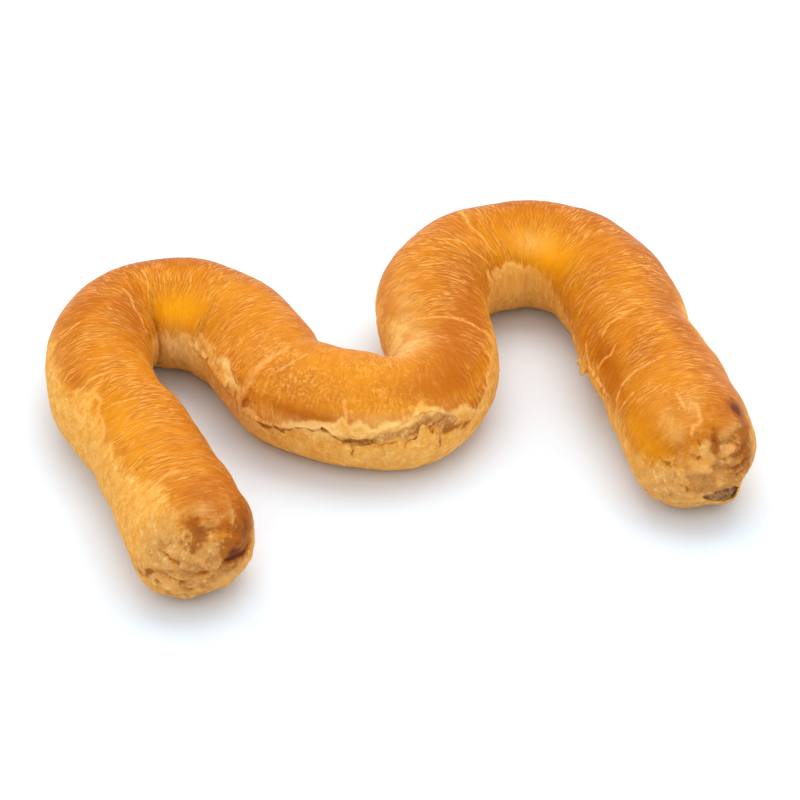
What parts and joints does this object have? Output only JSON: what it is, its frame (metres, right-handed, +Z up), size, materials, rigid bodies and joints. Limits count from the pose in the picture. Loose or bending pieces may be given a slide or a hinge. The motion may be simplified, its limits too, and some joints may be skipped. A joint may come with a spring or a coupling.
{
  "type": "almond pastry letter",
  "caption": "Baked puff pastry roll laid as a rounded letter M, glazed golden brown, torn along its front and filled with almond paste that shows at one foot.",
  "frame": {"origin": "middle of the letter's outline on the surface it lies on", "axes": "+X across the letter from its left leg to its right leg, +Y from its feet to its arches, +Z up"},
  "size_m": [0.2415, 0.1772, 0.0445],
  "materials": {
    "crust": "egg-washed baked puff pastry, satin on top and dull on the pale sides",
    "paste": "dull, crumbly baked almond paste"
  },
  "bodies": {
    "root": {"pastry_crust": "crust", "almond_paste": "paste"}
  },
  "joints": []
}
